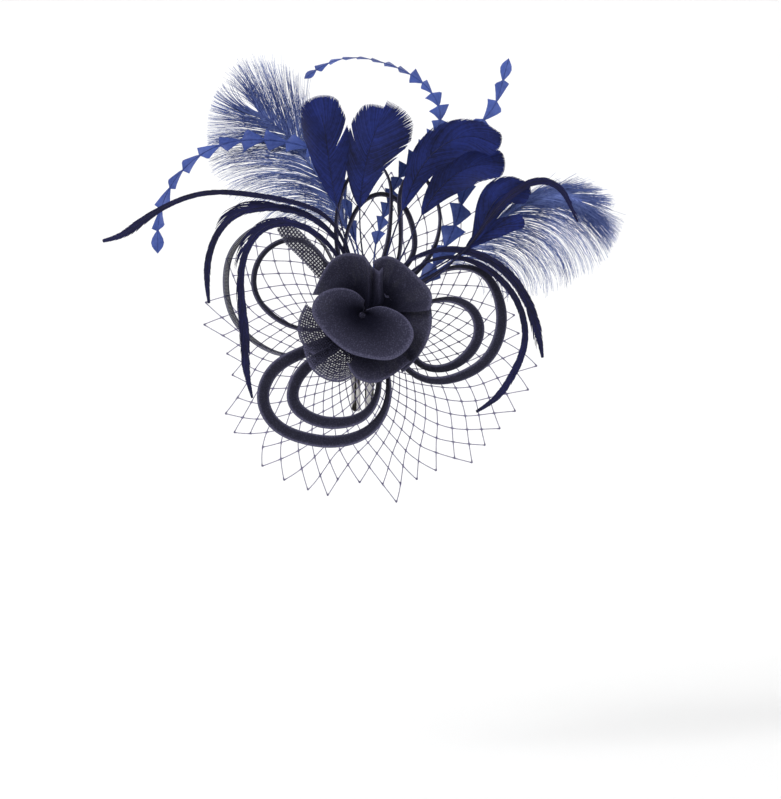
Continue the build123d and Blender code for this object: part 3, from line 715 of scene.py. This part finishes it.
# Painted highlight: the strip's edges are painted lighter than its middle.
tail_shade = np.broadcast_to(0.15 + 0.6 * np.abs(v) ** 6, tail.shape[:2])
tail_piece = build("strip_tail_open", (tail, {"uv": cloth_uv(tail), "shade": tail_shade}))
keep(tail_piece, tail_paint, "sinamay", "strip_tail")
tail_length = float(np.linalg.norm(np.diff(tail_line, axis=0), axis=-1).sum())
tail_area = surface(tail)


# --- Goose paddle feathers --------------------------------------------------------------------
# Dyed feathers stripped to a bare stem with a broad tip left on. The vane is made of barbs that
# leave the stem at a small slant and lie close to each other, and it splits in a place or two.
def reach_along(line, s):
    """Places at shares s of a line, which runs straight on past its end."""
    place = s * (len(line) - 1)
    k = np.clip(place.astype(int), 0, len(line) - 2)
    w = (place - k)[..., None]
    return line[k] * (1 - w) + line[k + 1] * w


def blades(centre, wide, draw, blunt=3.0):
    """Flat strips along centre lines (n, rows, 3), facing the front, and one shade for each."""
    u = np.linspace(0, 1, centre.shape[1])
    flat = unit(np.cross(unit(np.gradient(centre, axis=1)), [0.0, 1.0, 0.0]))
    half = (wide * MM / 2 * np.sqrt(np.clip(1.03 - u**blunt, 0.02, 1)))[None, :, None] * flat
    shade = np.clip(0.45 + 0.28 * draw.normal(size=len(centre)), 0, 1)[:, None, None]
    return np.stack([centre - half, centre + half], 2), {"shade": shade}


def vane(line, along, side, widths, start, lead, count, wide, draw, cup=0.0, ragged=0.03,
         splits=(), rows=9):
    """One side of a vane: barbs whose tips follow an outline of half widths and a rounded end.

    A tip lies at share q of the line and width(q) out; past the line's end the tips fan in to
    the middle on a half ellipse. A barb moves out as u ** 0.8 while it moves on by its lead.
    """
    places = np.linspace(start, 1, len(widths))
    fan = count // 5
    end = np.sin(np.linspace(0, math.pi / 2, fan)) * 0.55 * widths[-1] * MM
    end /= np.linalg.norm(np.diff(line, axis=0), axis=-1).sum()
    q = np.r_[np.linspace(start, 1, count - fan), 1 + end]
    out_by = np.r_[np.interp(q[:count - fan], places, widths),
                   widths[-1] * np.cos(np.linspace(0, math.pi / 2, fan))] * MM
    roots = np.clip(q - lead, start - 0.02, 0.965)
    for place, gap in splits:
        q = q + gap * np.sign(q - place) * np.exp(-((q - place) / 0.05) ** 2)
    out_by = out_by * (1 - ragged * draw.random(count) ** 2)
    u = np.linspace(0, 1, rows)[None, :]
    s = roots[:, None] + (q - roots)[:, None] * u
    across = unit(np.cross([0.0, 1.0, 0.0], along)) * side
    off = out_by[:, None] * u**0.8
    centre = reach_along(line, s) + reach_along(across, np.clip(s, 0, 1)) * off[..., None]
    centre[..., 1] += cup * MM * (off / (12 * MM)) ** 2 + draw.normal(size=(count, 1)) * 0.05 * MM * u
    return blades(centre, wide, draw)


def quill(line, thick, thin, sides=6):
    """A tapering round stem along a line."""
    radius = (thick + (thin - thick) * np.linspace(0, 1, len(line)) ** 0.8) * MM
    return tubes(line, radius, sides), {"wrap": True, "caps": True, "shade": 0.1}


def dyed(name, dark, light, sheen=0.3, rough=0.55):
    """Dyed feather: darker and lighter barbs, broad patches, and a soft shine."""
    paint = Paint(name)
    streak = paint.noise(paint.place(), 420.0, 3.0)
    patch = paint.noise(paint.place(), 26.0).step(0.35, 0.7)
    tone = (paint.shade() * 0.5 + streak.step(0.35, 0.7) * 0.2 + patch * 0.35).least(1.0)
    paint.cover(Base_Color=paint.mix(dark, light, tone), Roughness=rough - 0.2 * streak,
                Specular_IOR_Level=sheen)
    return paint


paddle_paint = dyed("paddle_feather", rgb(0.0008, 0.001, 0.01), rgb(0.013, 0.024, 0.16), 0.18, 0.5)
paddles = {
    "paddle_1": ([root(107), (-12, 104), (-20, 137), (-24, 162), (-27, 184), (-30, 198)], 17.2, -8, 0.5,
                 [1, 5, 9, 12, 14, 16, 16, 14], [1, 6, 11, 14, 16, 17, 16, 14], 3.0,
                 [], [(0.9, 0.014)]),
    "paddle_2": ([root(90), (-1, 104), (-1, 137), (3, 160), (8, 178), (13, 191)], 15.8, -2, 0.5,
                 [1, 6, 11, 15, 17, 18, 18, 16], [1, 5, 10, 14, 19, 24, 27, 25], -3.0,
                 [(0.9, 0.008)], [(0.72, 0.012), (0.82, 0.012), (0.91, 0.01)]),
    "paddle_3": ([root(70), (21, 104), (31, 131), (41, 153), (57, 170), (78, 177), (94, 172)], 17.2, -8,
                 0.42, [1, 5, 9, 13, 15, 14, 12, 9], [1, 5, 9, 12, 13, 12, 10, 9], 3.5,
                 [(0.9, 0.006)], []),
    "paddle_4": ([root(60), (34, 104), (50, 134), (62, 147), (80, 157), (97, 158)], 15.8, -2, 0.5,
                 [1, 4, 8, 12, 14, 14, 12, 10], [1, 5, 9, 12, 14, 13, 12, 10], -2.5, [], []),
    "paddle_5": ([root(44), (56, 86), (79, 103), (89, 121), (102, 137), (116, 137)], 17.2, 0, 0.58,
                 [1, 4, 7, 10, 12, 13, 12, 9], [1, 3, 6, 8, 9, 9, 8, 7], 2.0, [], [(0.95, 0.01)]),
    "paddle_6": ([root(38), (56, 80), (78, 101), (95, 112), (113, 118)], 15.8, 0, 0.62,
                 [1, 3, 5, 6, 6, 6, 5, 5], [1, 3, 5, 6, 7, 7, 6, 6], -2.0, [], []),
}
for number, (node, shape) in enumerate(paddles.items()):
    points, station, lean, start, lefts, rights, cup, left_splits, right_splits = shape
    draw = np.random.default_rng(40 + number)
    line, along = in_plane(points, station, lean)
    parts = [quill(line[:192], 0.75, 0.3)]
    for side, widths, splits in ((-1, lefts, left_splits), (1, rights, right_splits)):
        parts.append(vane(line, along, side, widths, start, 0.17, 210, 1.15, draw, cup, 0.05, splits))
    keep(build(node + "_vane", *parts), paddle_paint, "paddle_feather", node)


# --- Ostrich plumes ---------------------------------------------------------------------------
# Two soft plumes behind the paddles: long fine barbs that spread from a stem and droop at their
# ends, each one a tapering hair. Barbs near each other cling and bend alike.
plume_paint = dyed("ostrich_plume", rgb(0.028, 0.042, 0.18), rgb(0.2, 0.27, 0.6), 0.12, 0.7)
# for each side: the part of the stem that it covers, and along that part the barbs' length in mm,
# their angle from the stem where they leave it, and the direction that they end up in, in degrees
plumes = {
    "ostrich_left": ([root(97), (-9, 106), (-20, 130), (-32, 151), (-46, 171), (-61, 187),
                      (-76, 199)],
                     [(-1, 0.3, [46, 66, 78, 74, 62, 48, 34], 28, [222, 212, 203, 196, 184, 162, 130]),
                      (1, 0.3, [26, 38, 50, 60, 62, 54, 30], 26, [96, 98, 102, 105, 110, 120, 134])]),
    "ostrich_right": ([root(51), (41, 75), (63, 89), (85, 106), (106, 124), (128, 136), (146, 138),
                       (158, 134)],
                      [(-1, 0.48, [14, 22, 28, 32, 32, 30, 26], 18, [36, 30, 22, 14, 4, -8, -20]),
                       (1, 0.3, [50, 70, 82, 84, 68, 50, 30], 20, [-84, -78, -72, -64, -56, -46, -32])]),
}
for number, (node, (points, sides)) in enumerate(plumes.items()):
    draw = np.random.default_rng(60 + number)
    line, along = in_plane(points, 3.4, 9)
    heading = np.unwrap(np.arctan2(along[:, 2], along[:, 0]))
    parts = [quill(line, 0.8, 0.25)]
    for side, first, lengths, angle, ends in sides:
        n = 700
        q = np.sort(draw.uniform(0, 1, n))
        s = first + (1 - first) * (1 - (1 - q) ** 1.15)
        places = np.linspace(0, 1, len(lengths))
        long = np.interp(q, places, lengths) * MM * (1 - 0.45 * draw.random(n) ** 3)
        lock = draw.normal(size=80)[(q * 79.9).astype(int)]
        u = np.linspace(0, 1, 12)[None, :]
        leave = np.interp(s, np.linspace(0, 1, len(line)), heading) - side * math.radians(angle)
        close = np.radians(np.interp(q, places, ends))
        theta = leave[:, None] + (close - leave)[:, None] * u**1.1
        stray = 5 * lock + (4 + 8 * q**6) * draw.normal(size=n)
        theta = theta + np.radians(stray)[:, None] * (0.3 + u)
        step = long[:, None] / 11
        x = np.cumsum(step * np.cos(theta), 1)
        z = np.cumsum(step * np.sin(theta), 1)
        y = (lock[:, None] * 1.6 + draw.normal(size=(n, 1)) * 2.2) * MM * u**1.2
        centre = reach_along(line, s)[:, None] + np.stack([x - x[:, :1], y, z - z[:, :1]], -1)
        radius = (0.21 - 0.12 * u) * MM + np.zeros((n, 1))
        shade = np.clip(0.5 + 0.28 * draw.normal(size=n), 0, 1)[:, None, None]
        parts.append((tubes(centre, radius, 3), {"wrap": True, "caps": True, "shade": shade}))
    keep(build(node + "_barbs", *parts), plume_paint, "ostrich_plume", node)


# --- Notched feathers -------------------------------------------------------------------------
# Three long stems whose narrow vane is cut away at even steps, which leaves a chain of small
# slanting kites. Each piece turns a little on the stem, and the last one is a pointed leaf.
notched_paint = dyed("notched_feather", rgb(0.012, 0.024, 0.13), rgb(0.075, 0.12, 0.4), 0.2)
# for each: its stem, its lean, the shares where the pieces end, half widths in mm along them,
# and how far the pieces turn edge-on along them, in degrees
notched = {
    "notched_left": ([root(99), (-5, 104), (-13, 137), (-23, 161), (-45, 174), (-72, 178),
                      (-101, 175), (-124, 162), (-139, 144), (-147, 122), (-148, 96)], 6, 15,
                     [4, 5, 6, 7.5, 8, 6.5, 6, 6, 5], [20, 10, 0, 10, 20, 15, 25, 10]),
    "notched_middle": ([root(80), (10, 104), (18, 130), (28, 153), (45, 174), (56, 192), (51, 211),
                        (36, 225), (16, 234), (-5, 238), (-25, 234), (-42, 223)], 5, 22,
                       [5, 6, 7, 7, 8, 7, 5.5, 5, 5], [0, 20, 10, 0, 15, 46, 56, 60, 58, 40]),
    "notched_right": ([root(49), (45, 78), (59, 99), (69, 122), (75, 146), (79, 169), (85, 189),
                       (95, 202), (101, 218), (106, 237)], 6, 11,
                      [8, 10, 10, 8, 7, 6.5, 6.5, 5.5, 4.5], [0, 10, 15, 0, 20, 15, 25, 20]),
}
for number, (node, (points, lean, pieces, sizes, turned_by)) in enumerate(notched.items()):
    draw = np.random.default_rng(80 + number)
    line, along = in_plane(points, 5.4, lean, 400)
    start = 0.13
    edges = np.linspace(start, 1.0, pieces + 1)
    mid = (edges[:-1] + edges[1:]) / 2
    u = np.array([0.0, 0.18, 0.36, 0.54, 0.7, 0.8, 0.9, 1.0])
    s = edges[:-1, None] + (edges[1:] - edges[:-1])[:, None] * u * 1.06
    size = np.interp(mid, np.linspace(start, 1, len(sizes)), sizes) * MM * draw.uniform(0.9, 1.1, pieces)
    turn = np.radians(np.interp(mid, np.linspace(start, 1, len(turned_by)), turned_by)
                      + 10 * draw.normal(size=pieces))
    hand = np.where(draw.random(pieces) < 0.5, 0.0, 1.0)[:, None]
    early = np.array([0.1, 0.35, 0.55, 0.78, 0.98, 0.8, 0.35, 0.0])
    late = np.array([0.1, 0.25, 0.42, 0.6, 0.76, 0.88, 1.0, 0.1])
    left = (early * hand + late * (1 - hand)) * size[:, None]
    right = (late * hand + early * (1 - hand)) * size[:, None]
    leaf = np.array([0.1, 0.5, 0.85, 1.0, 0.85, 0.62, 0.32, 0.02]) * size[-1] * 0.9
    left[-1], right[-1] = leaf, leaf
    across = unit(np.cross([0.0, 1.0, 0.0], along))
    centre, out = reach_along(line, s), reach_along(across, np.clip(s, 0, 1))
    face = np.cos(turn)[:, None, None] * out + np.sin(turn)[:, None, None] * [0.0, 1.0, 0.0]
    v = np.linspace(-1, 1, 9)
    off = np.where(v < 0, left[..., None] * v, right[..., None] * v)
    grid = centre[:, :, None] + off[..., None] * face[:, :, None]
    grid[..., 1] += 0.9 * MM * (np.abs(v) ** 1.5) * (size[:, None, None] / (7 * MM))
    tone = np.clip(0.55 + 0.2 * draw.normal(size=(pieces, 1, 1)) + 0.18 * (np.arange(9) % 2), 0, 1)
    keep(build(node + "_chain", (grid, {"shade": tone}), quill(line, 0.7, 0.28)),
         notched_paint, "notched_feather", node)


# --- Curled feathers --------------------------------------------------------------------------
# Slim dark feathers, trimmed close and drawn over a blade so that they curl over at both sides.
# Their short barbs lie nearly along the stem, and here and there a row of them stands away.
curl_paint = dyed("curled_feather", rgb(0.002, 0.002, 0.012), rgb(0.008, 0.009, 0.06), 0.2)
# for each: its stem, its plane, half widths, and its loose rows: side, from, to, count, length
curls = {
    "curl_left_1": ([root(133), (-13, 102), (-27, 121), (-52, 131), (-81, 136), (-110, 137),
                     (-135, 130), (-157, 117), (-172, 107), (-185, 103)], 20.1, -6,
                    [0.6, 1.0, 1.6, 2.0, 2.0, 1.9, 1.9, 2.0, 3.4, 1.2], []),
    "curl_left_2": ([root(144), (-16, 100), (-32, 117), (-52, 126), (-72, 127), (-92, 121),
                     (-105, 106), (-111, 84), (-110, 59)], 18.7, -1,
                    [0.6, 1.2, 2.2, 2.6, 3.0, 2.6, 2.4, 2.6, 1.0],
                    [(1, 0.46, 0.62, 30, 30, 0.4), (-1, 0.3, 0.5, 14, 14, 0.3)]),
    "curl_left_3": ([root(153), (-20, 95), (-36, 110), (-56, 116), (-72, 111), (-83, 96),
                     (-87, 72), (-84, 36), (-83, 11), (-79, -9)], 20.1, -2,
                    [0.6, 1.4, 2.4, 2.8, 2.6, 2.4, 2.8, 3.4, 3.0, 0.8],
                    [(1, 0.3, 0.5, 36, 28, 0.42), (1, 0.52, 0.84, 44, 20, 0.28),
                     (-1, 0.3, 0.5, 14, 12, 0.3)]),
    "curl_right_1": ([root(48), (30, 86), (47, 95), (67, 97), (86, 92), (105, 79), (118, 60),
                      (126, 37), (129, 20)], 20.1, 0,
                     [0.6, 1.0, 2.0, 2.8, 3.2, 3.4, 3.6, 3.2, 1.0],
                     [(-1, 0.55, 0.8, 16, 15, 0.35), (1, 0.7, 0.92, 16, 16, 0.35)]),
    "curl_right_2": ([root(36), (36, 82), (52, 90), (70, 91), (88, 84), (105, 69), (115, 49),
                      (116, 29), (108, 8), (96, -9), (82, -19)], 18.7, 0,
                     [0.5, 0.8, 1.6, 2.2, 2.4, 2.4, 2.4, 2.8, 2.6, 1.0],
                     [(-1, 0.5, 0.8, 16, 13, 0.3)]),
    "curl_right_small": ([root(25), (49, 77), (74, 97), (93, 122), (112, 140), (129, 146),
                          (142, 140), (149, 128), (154, 117)], 21.5, 0,
                         [0.5, 0.5, 0.6, 1.2, 2.4, 3.0, 2.8, 2.0, 0.6],
                         [(-1, 0.7, 0.95, 10, 10, 0.3)]),
}
for number, (node, (points, station, lean, widths, loose)) in enumerate(curls.items()):
    draw = np.random.default_rng(100 + number)
    line, along = in_plane(points, station, lean, 300)
    length = np.linalg.norm(np.diff(line, axis=0), axis=-1).sum() / MM
    heading = np.unwrap(np.arctan2(along[:, 2], along[:, 0]))
    parts = [quill(line, 0.75, 0.2)]
    parts += [vane(line, along, side, widths, 0.1, 12 / length, int(1.5 * length), 0.9, draw, 0.5,
                   0.35, rows=6) for side in (-1, 1)]
    for side, first, last, count, barb, open_by in loose:
        s = np.sort(draw.uniform(first, last, count))
        u = np.linspace(0, 1, 9)[None, :]
        grow = np.sin(math.pi * np.clip((s - first) / (last - first), 0.12, 0.88))[:, None]
        theta = np.interp(s, np.linspace(0, 1, 300), heading)[:, None]
        theta = theta - side * open_by * (1.15 - 0.9 * u) * (0.8 + 0.4 * draw.random((count, 1)))
        bend = np.interp(s[:, None] + barb / length * u, np.linspace(0, 1, 300), heading)
        theta = theta + (bend - bend[:, :1]) * 0.9
        step = barb * MM / 8 * (0.7 + 0.3 * grow)
        x, z = np.cumsum(step * np.cos(theta), 1), np.cumsum(step * np.sin(theta), 1)
        y = draw.normal(size=(count, 1)) * 0.6 * MM * u
        centre = reach_along(line, s)[:, None] + np.stack([x - x[:, :1], y, z - z[:, :1]], -1)
        parts.append(blades(centre, 0.65, draw))
    keep(build(node + "_feather", *parts), curl_paint, "curled_feather", node)


# --- Hair clip --------------------------------------------------------------------------------
# A pressed steel fork clip, bright nickel plated: two forked jaws on a riveted pin with a coil
# spring round it. The jaws and the pin are as modelled; the spring is wound here.
nickel = Paint("bright_nickel")
# Painted reflection: dark streaks painted into the nickel's colour along a stretched noise stand for dark
# surroundings reflected in the bright metal; the roughness follows them.
reflection_streaks = nickel.noise(nickel.stretched(nickel.place(), (300.0, 200.0, 40.0)), 1.0, 3.0)
nickel.cover(
    Base_Color=nickel.mix(rgb(0.025, 0.023, 0.02), rgb(0.97, 0.95, 0.92), reflection_streaks.step(0.41, 0.49)),
    Metallic=0.8, Roughness=0.22 + 0.14 * reflection_streaks,
)
nickel.bump(nickel.noise(nickel.place(), 700.0), 0.12, 0.2 * MM)
for node in ("clip_front_jaw", "clip_back_jaw", "clip_pin"):
    for finish in bpy.data.objects[node].material_slots:
        finish.material = nickel.material

PIN_RADIUS, COIL_GAP, WIRE = 1.0, 0.25, 0.7      # in mm
COIL_TURNS = 9
coil_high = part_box("clip_spring")[1]
hinge = np.array([0.0, 2.4, 15.0])
coil_radius = PIN_RADIUS + COIL_GAP + WIRE / 2
turns = np.linspace(0, COIL_TURNS, 20 * COIL_TURNS + 1)
coil = np.stack([
    (turns - COIL_TURNS / 2) * WIRE,
    hinge[1] + coil_radius * np.cos(2 * math.pi * turns),
    hinge[2] + coil_radius * np.sin(2 * math.pi * turns)], -1)
leg = np.stack([np.full(12, COIL_TURNS / 2 * WIRE), np.full(12, hinge[1] + coil_radius),
                hinge[2] + np.linspace(1.2, 13.0, 12)], -1)
leg[:, 1] += np.linspace(0, 1, 12) * (coil_high.y / MM - WIRE / 2 - hinge[1] - coil_radius)
wire = np.concatenate([coil, leg]) * MM
spring = build("clip_spring_coil", (tubes(wire, WIRE / 2 * MM, 8), {"wrap": True, "caps": True}))
keep(spring, nickel, "clip_steel", "clip_spring", body="clip_jaw")
